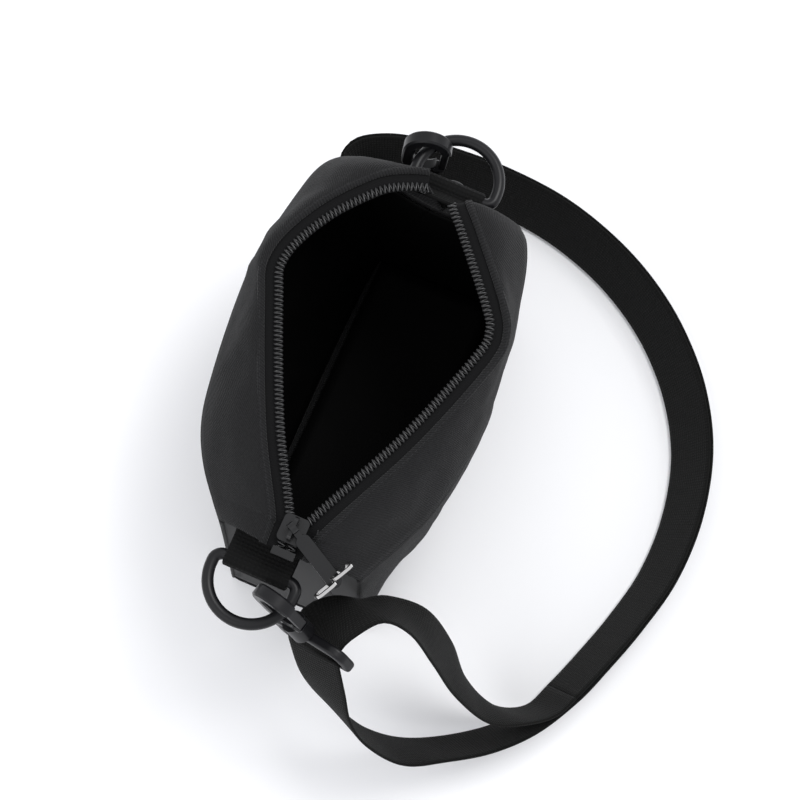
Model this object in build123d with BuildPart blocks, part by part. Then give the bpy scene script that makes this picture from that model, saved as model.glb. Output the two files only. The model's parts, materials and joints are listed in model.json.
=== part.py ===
"""Small box-shaped sling bag, standing on its base with the top zip open and the strap clipped on both ends.

Frame: origin at the middle of the base's underside, +X along the bag towards the far end, +Y towards the
back panel, +Z up.  All sizes in millimetres.
"""
from build123d import *
import math
import os

os.makedirs("parts", exist_ok=True)

# ------------------------------------------------------------------ driving dimensions
base_length = 204.0
base_width = 76.0
panel_height = 138.0          # base to the seam along the top of the panels
zip_height = 154.0            # base to the zip tape
near_top_inset = 10.0         # how far the near end leans in at the top
far_top_overhang = 2.0        # how far the far end leans out at the top
back_bulge = 38.0             # how far the open mouth pushes the back panel's top edge out
front_bulge = 25.0
mid_bulge_share = 0.68        # bulge half-way up a panel, as a share of the bulge at its top

panel_thickness = 2.0
seam_gap = 0.3                # between pieces that are sewn together, in the model
lining_gap = 0.5
lining_thickness = 1.0
base_thickness = 2.0
stiffener_thickness = 3.0
gable_drop = 2.5              # tip of each end's gable below the zip tape
gable_half = 1.5

zip_half_gap = 3.4            # middle of a coil to the zip's centre line, inside the slider
coil_width = 5.0
coil_height = 2.2
tape_width = 12.0
tape_thickness = 0.6
mouth_back = 62.0             # widest stand-off of the back coil from the centre line
mouth_front = 47.0
mouth_corner_x = 40.0         # where the mouth is widest
mouth_end_x = 95.0            # where the mouth's far side turns across the bag
mouth_corner_radius = 24.0

slider_length = 14.0
slider_width = 13.0
slider_plate = 1.3
slider_clearance = 0.35
slider_x = -85.0
puller_length = 38.0
puller_width = 7.5
puller_thickness = 1.4
puller_hole_radius = 2.0
puller_turn = 63.0            # how far the puller lies turned from the zip's line
puller_slope = 22.0
pin_clearance = 0.35

ring_rod = 6.0                # diameter of a D-ring's rod
ring_inner_width = 38.0
ring_corner = 4.5
ring_bar_to_arc = 6.0         # bar to the centre of the arc
tab_width = 34.5
tab_thickness = 1.6
tab_clearance = 0.4
tab_height = 139.0            # height of both D-ring bars
near_tab_y = 10.5
far_tab_y = -0.2
near_tab_reach = 15.0         # gusset to D-ring bar
far_tab_reach = 6.2

strap_width = 38.0
strap_thickness = 1.4
strap_layer_gap = 0.5
loop_bar = 5.5                # thickness of the hook's webbing loop
loop_bar_round = 1.7
slot_end_gap = 1.2            # webbing's edge to the end of a slot
loop_slot = 10.0              # height of the slot that the webbing passes
hook_thickness = 7.0
hook_wall = 6.0
eye_width = 13.0
eye_length = 22.0
swivel_radius = 3.0
swivel_clearance = 0.08
barrel_length = 9.0
gate_clearance = 0.35
adjuster_thickness = 4.0
adjuster_bar = 5.0
adjuster_slot = 7.0
adjuster_reach = 37.0         # far hook's bar to the middle of the adjuster

# ------------------------------------------------------------------ values worked out from them
half_length = base_length / 2
half_width = base_width / 2
near_top_x = -half_length + near_top_inset
far_top_x = half_length + far_top_overhang


def near_x(z):
    """X of the near end's outer face at height z."""
    return -half_length + near_top_inset * z / panel_height


def far_x(z):
    """X of the far end's outer face at height z."""
    return half_length + far_top_overhang * z / panel_height


def finish(part, label):
    """Label a finished piece and write it."""
    part.label = label
    export_step(part, f"parts/{label}.step")


# ------------------------------------------------------------------ bag body
# A panel's outline seen from above: share of the length from the near end, share of the bulge.
BULGE_SHAPE = ((0.0, 0.0), (0.2, 0.7), (0.52, 1.0), (0.82, 0.86), (1.0, 0.36))


def panel_points(z, side, bulge, inset):
    """Points of a panel's outline at height z; side is +1 at the back and -1 at the front."""
    if z <= 0:
        share = 0.0
    elif z < panel_height:
        share = mid_bulge_share
    else:
        share = 1.0
    start = near_x(z)
    length = far_x(z) - start
    return [
        (start + along * length, side * (half_width - inset + bulge * share * out))
        for along, out in BULGE_SHAPE
    ]


def curved_strip(z, outer, inner):
    """Thin face at height z between two outlines that run side by side."""
    with BuildSketch(Plane.XY.offset(z)) as profile:
        with BuildLine():
            Spline(*outer)
            Line(outer[-1], inner[-1])
            Spline(*inner[::-1])
            Line(inner[0], outer[0])
        make_face()
    return profile.sketch


def panel(side, bulge):
    """One long side of the bag, bowed outwards towards its top."""
    sections = []
    for z, level in ((base_thickness + seam_gap, 0), (panel_height / 2, panel_height / 2), (panel_height, panel_height)):
        outer = panel_points(level, side, bulge, 0)
        inner = panel_points(level, side, bulge, panel_thickness)
        sections.append(curved_strip(z, outer, inner))
    with BuildPart() as wall:
        loft(sections=sections)
    return wall.part


def gusset_section(z, x_outer, inward, half_front, half_back):
    """Thin rectangle across one end of the bag at height z."""
    with BuildSketch(Plane.XY.offset(z)) as profile:
        with Locations((x_outer + inward * panel_thickness / 2, (half_back - half_front) / 2)):
            Rectangle(panel_thickness, half_back + half_front)
    return profile.sketch


def gusset(end_x, inward, bulge_left):
    """One end of the bag: an upright wall, then a gable that carries the end of the zip."""
    inner_half = half_width - panel_thickness - seam_gap
    sections = []
    for z, share in ((base_thickness + seam_gap, 0), (panel_height / 2, mid_bulge_share), (panel_height, 1)):
        half_front = inner_half + bulge_left * share * front_bulge
        half_back = inner_half + bulge_left * share * back_bulge
        sections.append(gusset_section(z, end_x(z), inward, half_front, half_back))
    sections.append(gusset_section(zip_height - gable_drop, end_x(panel_height), inward, gable_half, gable_half))
    with BuildPart() as wall:
        loft(sections=sections, ruled=True)
    return wall.part


FAR_BULGE = BULGE_SHAPE[-1][1]

finish(panel(+1, back_bulge), "back_panel")
finish(panel(-1, front_bulge), "front_panel")
finish(gusset(near_x, +1, 0.0), "near_gusset")
finish(gusset(far_x, -1, FAR_BULGE), "far_gusset")

with BuildPart() as base_panel:
    Box(base_length, base_width, base_thickness, align=(Align.CENTER, Align.CENTER, Align.MIN))
    fillet(base_panel.edges().filter_by(Axis.Z), 4)
finish(base_panel.part, "base_panel")

stiffener_margin = panel_thickness + lining_gap + lining_thickness + 1.0
with BuildPart() as base_stiffener:
    with Locations((0, 0, base_thickness + seam_gap)):
        Box(
            base_length - 2 * stiffener_margin - 4,
            base_width - 2 * stiffener_margin,
            stiffener_thickness,
            align=(Align.CENTER, Align.CENTER, Align.MIN),
        )
    fillet(base_stiffener.edges().filter_by(Axis.Z), 6)
finish(base_stiffener.part, "base_stiffener")


# ------------------------------------------------------------------ lining
def closed_outline(z, level, inset):
    """Face that fills the whole bag's outline at height z, inset all round."""
    back = panel_points(level, +1, back_bulge, inset)
    front = panel_points(level, -1, front_bulge, inset)
    for row in (back, front):
        row[0] = (row[0][0] + inset, row[0][1])
        row[-1] = (row[-1][0] - inset, row[-1][1])
    with BuildSketch(Plane.XY.offset(z)) as profile:
        with BuildLine():
            Spline(*back)
            Line(back[-1], front[-1])
            Spline(*front[::-1])
            Line(front[0], back[0])
        make_face()
    return profile.sketch


lining_inset = panel_thickness + lining_gap
lining_floor = base_thickness + 2 * seam_gap + stiffener_thickness
lining_top = panel_height - 2.0
inner_inset = lining_inset + lining_thickness
with BuildPart() as lining:
    loft(
        sections=[
            closed_outline(lining_floor, 0, lining_inset),
            closed_outline(panel_height / 2, panel_height / 2, lining_inset),
            closed_outline(lining_top, panel_height, lining_inset),
        ]
    )
    loft(
        sections=[
            closed_outline(lining_floor + lining_thickness, 0, inner_inset),
            closed_outline(panel_height / 2, panel_height / 2, inner_inset),
            closed_outline(lining_top, panel_height, inner_inset),
        ],
        mode=Mode.SUBTRACT,
    )
finish(lining.part, "lining")


# ------------------------------------------------------------------ top strips, zip tapes and coils
def mouth_corners(side, outwards):
    """Corners of one side of the open mouth, moved outwards from the coil's middle."""
    widest = mouth_back if side > 0 else mouth_front
    at_slider = zip_half_gap + outwards
    at_end = (12.0 if side > 0 else 8.0) + outwards
    return [
        (slider_x - slider_length / 2 - 3, side * at_slider),
        (slider_x + slider_length / 2 - 1, side * at_slider),
        (mouth_corner_x, side * (widest + outwards)),
        (mouth_end_x + outwards * 0.4, side * at_end),
    ]


def mouth_outline(side, outwards):
    """Five points along one side of the mouth for the edge of a top strip."""
    start, _, corner, end = mouth_corners(side, outwards)
    return [
        (near_top_x, start[1]),
        (near_top_x + 0.5 * (corner[0] - near_top_x), 0.5 * (start[1] + corner[1])),
        (corner[0] - 2, corner[1] - side * 5),
        (0.5 * (corner[0] + end[0]) + 3, 0.5 * (corner[1] + end[1])),
        (far_top_x, end[1] - side * 2),
    ]


def top_strip(side, bulge):
    """Band of fabric from the seam along a panel's top to the zip."""
    edge = tape_width - coil_width / 2
    seam = curved_strip(
        panel_height + seam_gap,
        panel_points(panel_height, side, bulge, 0),
        panel_points(panel_height, side, bulge, panel_thickness),
    )
    rim = curved_strip(zip_height, mouth_outline(side, edge), mouth_outline(side, edge - panel_thickness))
    with BuildPart() as strip:
        loft(sections=[seam, rim], ruled=True)
    return strip.part


def mouth_band(side, outwards, width, low, height):
    """Flat band that follows one side of the mouth."""
    with BuildPart() as band:
        with BuildSketch(Plane.XY.offset(low)):
            with BuildLine() as course:
                FilletPolyline(*mouth_corners(side, outwards), radius=mouth_corner_radius)
            trace(course.line, line_width=width)
        extrude(amount=height)
    return band.part


coil_low = zip_height + tape_thickness
for side_name, side, bulge in (("back", 1, back_bulge), ("front", -1, front_bulge)):
    finish(top_strip(side, bulge), f"{side_name}_top_strip")
    tape_offset = tape_width / 2 - coil_width / 2
    finish(mouth_band(side, tape_offset, tape_width, zip_height, tape_thickness), f"{side_name}_zip_tape")
    finish(mouth_band(side, 0, coil_width, coil_low, coil_height), f"{side_name}_zip_coil")

stop_length = 4.0
coil_top = coil_low + coil_height
with BuildPart() as zip_stops:
    near_stop_x = slider_x - slider_length / 2 - 3 - stop_length / 2 - seam_gap
    with Locations((near_stop_x, 0, zip_height + tape_thickness)):
        Box(
            stop_length,
            2 * zip_half_gap + coil_width,
            coil_height + 0.4,
            align=(Align.CENTER, Align.CENTER, Align.MIN),
        )
    for stop_side in (-1, 1):
        end_corner = mouth_corners(stop_side, 0)[-1]
        with Locations((end_corner[0] + coil_width / 2 + stop_length / 4, end_corner[1], coil_low)):
            Box(stop_length / 2, coil_width, coil_height, align=(Align.CENTER, Align.CENTER, Align.MIN))
finish(zip_stops.part, "zip_stops")

# ------------------------------------------------------------------ slider, puller and link
slider_under = zip_height - slider_clearance - slider_plate
slider_over = coil_top + slider_clearance
slider_top = slider_over + slider_plate
nose_radius = 0.6
bail_length = 12.0
bail_height = 6.0
bail_rod = 1.6
bail_width = 2.0
with BuildPart() as zip_slider:
    for plate_z in (slider_under, slider_over):
        with BuildSketch(Plane.XY.offset(plate_z)):
            with Locations((slider_x, 0)):
                Rectangle(slider_length, slider_width)
            fillet(vertices(), 2.5)
        extrude(amount=slider_plate)
    with BuildSketch(Plane.XY.offset(slider_under)):
        with Locations((slider_x + slider_length / 2 - 2.4, 0)):
            Circle(nose_radius)
    extrude(amount=slider_over - slider_under + slider_plate)
    with BuildSketch(Plane.XZ.offset(-bail_width / 2)):
        with Locations((slider_x, slider_top + bail_height / 2 - 0.1)):
            RectangleRounded(bail_length, bail_height + 0.2, 2.2)
            Rectangle(bail_length - 2 * bail_rod, bail_height + 0.2 - 2 * bail_rod, mode=Mode.SUBTRACT)
    extrude(amount=bail_width)
finish(zip_slider.part, "zip_slider")


def turned(yaw, pitch):
    """Direction in the horizontal plane at yaw from -X towards -Y, dipping by pitch."""
    return Vector(
        -math.cos(math.radians(yaw)) * math.cos(math.radians(pitch)),
        -math.sin(math.radians(yaw)) * math.cos(math.radians(pitch)),
        -math.sin(math.radians(pitch)),
    )


eye_inner = 2.1
eye_outer = 3.0
eye_half_length = 1.6
neck_width = 3.2
neck_length = 6.0
puller_pivot = Vector(slider_x, 0, slider_top + bail_height - bail_rod / 2)
puller_along = turned(puller_turn, puller_slope)
puller_across = turned(puller_turn, 0).cross(Vector(0, 0, 1))
puller_plane = Plane(origin=puller_pivot, x_dir=puller_along, z_dir=puller_across.cross(puller_along))
hole_along = puller_length - 5.0
ring_rod_small = 1.5
hole_width = 2 * ring_rod_small + 3 * pin_clearance
with BuildPart() as zip_puller:
    with BuildSketch(puller_plane.offset(-puller_thickness / 2)):
        with Locations((neck_length + (puller_length - neck_length) / 2 - 1, 0)):
            SlotOverall(puller_length - neck_length, puller_width)
        with Locations((eye_inner + neck_length / 2, 0)):
            Rectangle(neck_length, neck_width)
    extrude(amount=puller_thickness)
    with BuildSketch(Plane(origin=puller_pivot, x_dir=puller_along, z_dir=puller_across)):
        Circle(eye_outer)
    extrude(amount=eye_half_length, both=True)
    with BuildSketch(Plane(origin=puller_pivot, x_dir=puller_along, z_dir=puller_across)):
        Circle(eye_inner)
    extrude(amount=puller_width, both=True, mode=Mode.SUBTRACT)
    with BuildSketch(puller_plane.offset(-puller_thickness)):
        with Locations((hole_along, 0)):
            Rectangle(hole_width, ring_rod_small + 2 * pin_clearance)
    extrude(amount=2 * puller_thickness, mode=Mode.SUBTRACT)
finish(zip_puller.part, "zip_puller")

ring_span = 13.0
ring_drop = 9.0
with BuildPart() as puller_rings:
    for ring_side in (-1, 1):
        station = puller_pivot + puller_along * (hole_along + ring_side * (ring_rod_small + pin_clearance) / 2)
        ring_plane = Plane(origin=station, x_dir=puller_across * ring_side, z_dir=puller_along)
        with BuildSketch(ring_plane):
            with Locations((ring_span / 2 - ring_rod_small / 2, 0)):
                RectangleRounded(ring_span, ring_drop, 4.0)
                RectangleRounded(ring_span - 2 * ring_rod_small, ring_drop - 2 * ring_rod_small, 2.6, mode=Mode.SUBTRACT)
        extrude(amount=ring_rod_small / 2, both=True)
finish(puller_rings.part, "puller_rings")

# ------------------------------------------------------------------ tabs and D-rings
bar_radius = ring_rod / 2
arc_radius = ring_inner_width / 2 + bar_radius


def d_ring(bar_x, bar_y, outward):
    """D-ring lying level, its straight bar across the bag and its arc pointing outwards."""
    flat = arc_radius - ring_corner
    with BuildPart() as ring:
        with BuildLine(Plane(origin=(bar_x, bar_y, tab_height), x_dir=(outward, 0, 0), z_dir=(0, 0, outward))) as course:
            bar = Line((0, -flat), (0, flat))
            corner = CenterArc((ring_corner, flat), ring_corner, 180, -90)
            side = Line(corner @ 1, (ring_bar_to_arc, arc_radius))
            arc = ThreePointArc(side @ 1, (ring_bar_to_arc + arc_radius, 0), (ring_bar_to_arc, -arc_radius))
            back = Line(arc @ 1, (ring_corner, -arc_radius))
            CenterArc((ring_corner, -flat), ring_corner, 270, -90)
        with BuildSketch(Plane(origin=course.line @ 0, z_dir=course.line % 0)):
            Circle(bar_radius)
        sweep(path=course.line)
    return ring.part


def tab(bar_x, bar_y, face_x, outward):
    """Webbing folded round a D-ring's bar, with both layers sewn to the end of the bag."""
    loop_inner = bar_radius + tab_clearance
    loop_outer = loop_inner + tab_thickness
    reach = abs(bar_x - face_x)
    with BuildPart() as webbing:
        section_plane = Plane(origin=(bar_x, bar_y, tab_height), x_dir=(-outward, 0, 0), z_dir=(0, outward, 0))
        with BuildSketch(section_plane.offset(-tab_width / 2)):
            Circle(loop_outer)
            with Locations((reach / 2, 0)):
                Rectangle(reach, 2 * tab_thickness)
            Circle(loop_inner, mode=Mode.SUBTRACT)
        extrude(amount=tab_width)
    return webbing.part


near_face_x = near_x(tab_height + tab_thickness)
far_face_x = far_x(panel_height)
near_bar_x = near_top_x - near_tab_reach
far_bar_x = far_top_x + far_tab_reach
finish(d_ring(near_bar_x, near_tab_y, -1), "near_d_ring")
finish(d_ring(far_bar_x, far_tab_y, +1), "far_d_ring")
finish(tab(near_bar_x, near_tab_y, near_face_x - 0.4, -1), "near_tab")
finish(tab(far_bar_x, far_tab_y, far_face_x + 0.1, +1), "far_tab")

# ------------------------------------------------------------------ snap hooks
# Distances run from the middle of the webbing loop's bar towards the hook's tip.
loop_half = strap_width / 2 + loop_bar + slot_end_gap
loop_top = loop_bar / 2 + loop_slot + loop_bar
barrel_low = loop_top + 0.3
eye_low = barrel_low + barrel_length + hook_wall
eye_high = eye_low + eye_width / 2 + eye_length - eye_width / 2
near_station = 41.0           # where the D-ring's rod crosses the slack hook's middle line
far_station = eye_high - bar_radius - 5.8
barrel_radius = swivel_radius + 3.0
stud_head = 1.2
stud_head_radius = swivel_radius + 1.2
gate_thickness = 5.0
gate_low = eye_low + 1.0
gate_high = eye_high - eye_width / 2 + 1.0


def hook_loop(frame):
    """Webbing loop with its swivel stud, drawn in the frame's plane; the stud points along the frame's Y."""
    with BuildPart() as loop:
        with BuildSketch(frame.offset(-loop_bar / 2)):
            with Locations((0, (loop_top - loop_bar / 2) / 2)):
                RectangleRounded(2 * loop_half, loop_top + loop_bar / 2, 8.0)
            with Locations((0, loop_bar / 2 + loop_slot / 2)):
                RectangleRounded(strap_width + 2 * slot_end_gap, loop_slot, 2.0, mode=Mode.SUBTRACT)
        extrude(amount=loop_bar)
        fillet(loop.edges(), loop_bar_round)
        stud_plane = Plane(origin=frame.origin + frame.y_dir * (loop_top - 0.5), z_dir=frame.y_dir)
        with BuildSketch(stud_plane):
            Circle(swivel_radius)
        extrude(amount=barrel_length - 1.0)
        with BuildSketch(stud_plane.offset(barrel_length - 1.0)):
            Circle(stud_head_radius)
        extrude(amount=stud_head)
    return loop.part


def hook_body(frame):
    """Hook with its eye open on the gate's side and a barrel that turns on the loop's stud."""
    with BuildPart() as hook:
        with BuildSketch(frame.offset(-hook_thickness / 2)):
            with Locations((0, (eye_low + eye_high) / 2)):
                SlotOverall(eye_high - eye_low + 2 * hook_wall, eye_width + 2 * hook_wall, rotation=90)
                SlotOverall(eye_high - eye_low, eye_width, rotation=90, mode=Mode.SUBTRACT)
            with Locations((eye_width / 2 + hook_wall / 2 + 0.5, (gate_low + gate_high) / 2)):
                Rectangle(hook_wall + 2.0, gate_high - gate_low, mode=Mode.SUBTRACT)
        extrude(amount=hook_thickness)
        flat_faces = hook.faces().filter_by(Axis(frame.origin, frame.z_dir))
        chamfer(flat_faces.edges(), 0.9)
        barrel_plane = Plane(origin=frame.origin + frame.y_dir * barrel_low, z_dir=frame.y_dir)
        with BuildSketch(barrel_plane):
            Circle(barrel_radius)
        extrude(amount=barrel_length + hook_wall / 2)
        with BuildSketch(barrel_plane):
            Circle(swivel_radius + swivel_clearance)
        extrude(amount=barrel_length, mode=Mode.SUBTRACT)
        head_low = barrel_length - 1.8
        with BuildSketch(barrel_plane.offset(head_low)):
            Circle(stud_head_radius + 0.3)
        extrude(amount=stud_head + 1.4, mode=Mode.SUBTRACT)
    return hook.part


def hook_gate(frame):
    """Sprung gate that closes the side of the eye; it turns inwards about its lower end."""
    gate_x = eye_width / 2 + hook_wall / 2
    with BuildPart() as gate:
        with BuildSketch(frame.offset(-gate_thickness / 2)):
            with Locations((gate_x, (gate_low + gate_high) / 2)):
                Rectangle(hook_wall - 2.2, gate_high - gate_low - 2 * gate_clearance)
            fillet(vertices(), 1.2)
        extrude(amount=gate_thickness)
        fillet(gate.edges().filter_by(GeomType.LINE), 0.5)
    return gate.part


def hook_frame(clip_point, station, axis, gate_side):
    """Plane whose Y runs from the webbing loop to the hook's tip and whose X is the gate's side."""
    along = axis.normalized()
    across = (gate_side - along * gate_side.dot(along)).normalized()
    return Plane(origin=clip_point - along * station, x_dir=across, z_dir=across.cross(along))


def on_arc(bar_x, bar_y, outward, degrees):
    """Point on a D-ring's rod, by the angle from the end of its arc."""
    turn = math.radians(degrees)
    side = 1 if outward > 0 else -1
    return Vector(
        bar_x + outward * (ring_bar_to_arc + arc_radius * math.sin(turn)),
        bar_y + side * arc_radius * math.cos(turn),
        tab_height,
    )


near_clip = on_arc(near_bar_x, near_tab_y, -1, 22)
far_clip = on_arc(far_bar_x, far_tab_y, +1, 24)
near_frame = hook_frame(near_clip, near_station, Vector(0.166, 0.516, 0.84), Vector(-0.14, -0.78, 0.60))
far_frame = hook_frame(far_clip, far_station, Vector(0.20, -0.05, 0.97), Vector(0.25, -0.96, -0.10))
for end_name, frame in (("near", near_frame), ("far", far_frame)):
    finish(hook_loop(frame), f"{end_name}_hook_loop")
    finish(hook_body(frame), f"{end_name}_hook_body")
    finish(hook_gate(frame), f"{end_name}_hook_gate")

# ------------------------------------------------------------------ strap and adjuster
layer_offset = (strap_thickness + strap_layer_gap) / 2
wrap_gap = 0.4
wrap_radius = loop_bar / 2 + 2 * wrap_gap + strap_thickness / 2

# Middle of the doubled strap, from behind the far end round to where its two layers part near the
# near hook: x, y, z, then the direction of its upper edge.
DOUBLED = (
    ((128.0, 43.5, 28.0), (-0.15, 0.88, 0.42)),
    ((129.8, 52.0, 23.5), (-0.15, 0.70, 0.70)),
    ((132.5, 62.0, 21.5), (-0.12, 0.48, 0.86)),
    ((137.5, 70.0, 20.0), (-0.08, 0.32, 0.94)),
    ((144.5, 70.5, 19.3), (0.10, 0.25, 0.96)),
    ((150.5, 63.0, 18.8), (0.30, 0.15, 0.94)),
    ((156.5, 46.0, 18.7), (0.38, 0.06, 0.92)),
    ((160.0, 18.0, 18.7), (0.40, 0.00, 0.92)),
    ((161.0, -14.0, 18.7), (0.40, -0.05, 0.92)),
    ((157.5, -48.0, 18.7), (0.40, -0.10, 0.92)),
    ((148.0, -80.0, 18.7), (0.38, -0.15, 0.92)),
    ((134.0, -108.0, 18.7), (0.35, -0.22, 0.91)),
    ((115.0, -133.0, 18.7), (0.30, -0.30, 0.91)),
    ((90.0, -155.0, 18.7), (0.22, -0.38, 0.90)),
    ((60.0, -171.0, 18.7), (0.15, -0.42, 0.90)),
    ((25.0, -179.0, 18.7), (0.05, -0.45, 0.90)),
    ((-10.0, -179.0, 18.7), (-0.02, -0.45, 0.90)),
    ((-42.0, -172.0, 18.7), (-0.08, -0.43, 0.90)),
    ((-70.0, -163.0, 18.7), (-0.10, -0.42, 0.90)),
    ((-90.0, -155.5, 18.9), (-0.11, -0.41, 0.90)),
)
# The outer layer from there to the hook, round the outside.
OUTER_END = (
    ((-114.0, -143.0, 19.8), (-0.20, -0.36, 0.91)),
    ((-133.0, -124.0, 23.5), (-0.30, -0.28, 0.91)),
    ((-149.0, -99.5, 34.0), (-0.33, -0.15, 0.93)),
    ((-157.0, -79.0, 50.0), (-0.30, -0.10, 0.95)),
    ((-155.5, -60.0, 70.0), (-0.20, -0.12, 0.97)),
    ((-150.8, -47.7, 83.0), (-0.21, -0.58, 0.78)),
    ((-142.0, -38.0, 95.0), (-0.14, -0.76, 0.62)),
)
# The inner layer, which arches over beside the near end before it comes back to the outer one.
INNER_END = (
    ((-104.0, -148.0, 21.5), (-0.13, -0.34, 0.92)),
    ((-113.0, -134.0, 30.0), (-0.20, -0.10, 0.97)),
    ((-115.0, -114.0, 47.0), (-0.30, 0.03, 0.95)),
    ((-107.0, -96.0, 70.0), (-0.44, 0.04, 0.90)),
    ((-99.0, -79.0, 92.0), (-0.51, 0.00, 0.86)),
    ((-97.0, -61.0, 108.0), (-0.41, -0.18, 0.89)),
    ((-101.0, -48.0, 115.0), (-0.27, -0.41, 0.87)),
    ((-109.0, -38.5, 116.0), (-0.25, -0.60, 0.76)),
)


def near_wrap(turn):
    """Station on the way round the near hook's bar; 0 is behind the bar, 90 its slot side."""
    return around(near_frame, near_frame.x_dir, turn)


def far_wrap(turn):
    """Station on the way round the far hook's bar."""
    return around(far_frame, far_frame.x_dir * -1, turn)


def around(frame, edge, turn):
    """Station of webbing that lies on the bar at a frame's origin, by the angle round the bar."""
    angle = math.radians(turn)
    reach = frame.z_dir * math.cos(angle) + frame.y_dir * math.sin(angle)
    return (frame.origin + reach * wrap_radius, edge)


def beside(stations, offset):
    """Stations moved sideways along the webbing's own normal; positive is the loop's outside."""
    points = [Vector(*place) for place, _ in stations]
    edges = [Vector(*edge) for _, edge in stations]
    out = []
    for index, point in enumerate(points):
        before = points[max(index - 1, 0)]
        after = points[min(index + 1, len(points) - 1)]
        outward = edges[index].cross(after - before).normalized()
        out.append((point + outward * offset, edges[index]))
    return out


def vectors(stations):
    """Stations given as plain numbers, as vectors."""
    return [(Vector(*place), Vector(*edge)) for place, edge in stations]


def webbing(stations, width, thickness):
    """Solid ribbon through its stations, each a middle point and the direction of its upper edge."""
    sections = []
    for index, (point, edge) in enumerate(stations):
        before = stations[max(index - 1, 0)][0]
        after = stations[min(index + 1, len(stations) - 1)][0]
        run = (after - before).normalized()
        upright = (edge - run * edge.dot(run)).normalized()
        with BuildSketch(Plane(origin=point, x_dir=upright, z_dir=run)) as profile:
            Rectangle(width, thickness)
        sections.append(profile.sketch)
    with BuildPart() as ribbon:
        loft(sections=sections, ruled=True)
    return ribbon.part


# The adjuster's plane: X across the webbing, Y away from the far hook, Z the loop's outside.
crossing = adjuster_thickness / 2 + wrap_gap + strap_thickness / 2
layer_step = strap_thickness + wrap_gap
adjuster_along = Vector(0.14, 0.24, -0.96).normalized()
adjuster_edge = (far_frame.x_dir * -1 + adjuster_along * far_frame.x_dir.dot(adjuster_along)).normalized()
adjuster_out = adjuster_edge.cross(adjuster_along)
adjuster_plane = Plane(
    origin=far_frame.origin + adjuster_along * adjuster_reach + adjuster_out * (crossing - layer_offset),
    x_dir=adjuster_edge,
    z_dir=adjuster_out,
)


def at_adjuster(along, out):
    """Station beside the adjuster, by its distance along the strap and out of the adjuster's plane."""
    place = adjuster_plane.origin + adjuster_plane.y_dir * along + adjuster_plane.z_dir * out
    return (place, adjuster_plane.x_dir)


bar_half = adjuster_bar / 2
slot_far = bar_half + adjuster_slot
round_bar = bar_half + wrap_gap + strap_thickness / 2
sewn_end = [
    at_adjuster(slot_far + 12, -crossing - layer_step),
    at_adjuster(slot_far + 0.5, -crossing - layer_step),
    at_adjuster(round_bar + 2.4, -crossing - 1.3),
    at_adjuster(round_bar + 0.2, -1.2),
    at_adjuster(round_bar + 0.2, 0.9),
    at_adjuster(bar_half + 0.6, crossing - 0.5),
    at_adjuster(bar_half - 1.2, crossing),
    at_adjuster(-bar_half + 1.2, crossing),
    at_adjuster(-bar_half - 0.7, crossing - 0.5),
    at_adjuster(-round_bar - 0.4, 0.9),
    at_adjuster(-round_bar - 0.4, -0.9),
    at_adjuster(-bar_half - 0.7, -crossing + 0.5),
    at_adjuster(-bar_half + 1.2, -crossing),
    at_adjuster(bar_half - 1.0, -crossing - 0.3),
    at_adjuster(bar_half + 2.5, -crossing - 3.2),
    at_adjuster(bar_half + 6.5, -crossing - 2 * layer_step - 0.2),
    at_adjuster(slot_far + 7, -crossing - 2 * layer_step),
    at_adjuster(slot_far + 13, -crossing - 2 * layer_step),
]
through_adjuster = [
    at_adjuster(slot_far + 14, -crossing),
    at_adjuster(slot_far + 8, -crossing),
    at_adjuster(slot_far + 0.5, -crossing),
    at_adjuster(slot_far - 1.9, -crossing + 1.3),
    at_adjuster(bar_half + 3.9, 1.2),
    at_adjuster(bar_half + 2.0, crossing + layer_step - 0.7),
    at_adjuster(bar_half, crossing + layer_step),
    at_adjuster(-bar_half, crossing + layer_step),
    at_adjuster(-bar_half - 2.2, crossing + layer_step - 0.7),
    at_adjuster(-bar_half - 3.9, 1.2),
    at_adjuster(-slot_far + 1.9, -crossing + 1.3),
    at_adjuster(-slot_far - 0.5, -crossing),
    at_adjuster(-slot_far - adjuster_bar, -crossing),
]
near_turn = (62, 50, 39)
far_turn = (180, 150, 120, 90, 60, 30, 0)
tail_edge = far_frame.x_dir * -1
tail = [
    (far_frame.origin + far_frame.z_dir * (wrap_radius * 0.75) - far_frame.y_dir * 5, tail_edge),
    (far_frame.origin + far_frame.z_dir * 1.2 - far_frame.y_dir * 12, tail_edge),
]
strap_course = (
    sewn_end
    + beside(DOUBLED, -layer_offset)
    + vectors(INNER_END)
    + [(near_frame.origin + near_frame.y_dir * 6.5 - near_frame.z_dir * 6.0, near_frame.x_dir)]
    + [near_wrap(turn) for turn in near_turn]
    + vectors(reversed(OUTER_END))
    + list(reversed(beside(DOUBLED, layer_offset)))
    + through_adjuster
    + [far_wrap(turn) for turn in far_turn]
    + tail
)
finish(webbing(strap_course, strap_width, strap_thickness), "strap_webbing")

adjuster_half = strap_width / 2 + 0.6 + adjuster_bar
with BuildPart() as adjuster:
    with BuildSketch(adjuster_plane.offset(-adjuster_thickness / 2)):
        RectangleRounded(2 * adjuster_half, 2 * (slot_far + adjuster_bar), 4.0)
        with Locations((0, bar_half + adjuster_slot / 2), (0, -bar_half - adjuster_slot / 2)):
            Rectangle(strap_width + 1.2, adjuster_slot, mode=Mode.SUBTRACT)
    extrude(amount=adjuster_thickness)
    fillet(adjuster.edges().filter_by(Axis(adjuster_plane.origin, adjuster_plane.x_dir)), 1.4)
finish(adjuster.part, "strap_adjuster")
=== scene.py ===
"""Looks of the sling bag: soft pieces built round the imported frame, materials for hard ones."""
import json
import math

import bpy
import numpy as np
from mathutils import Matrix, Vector, noise


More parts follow.
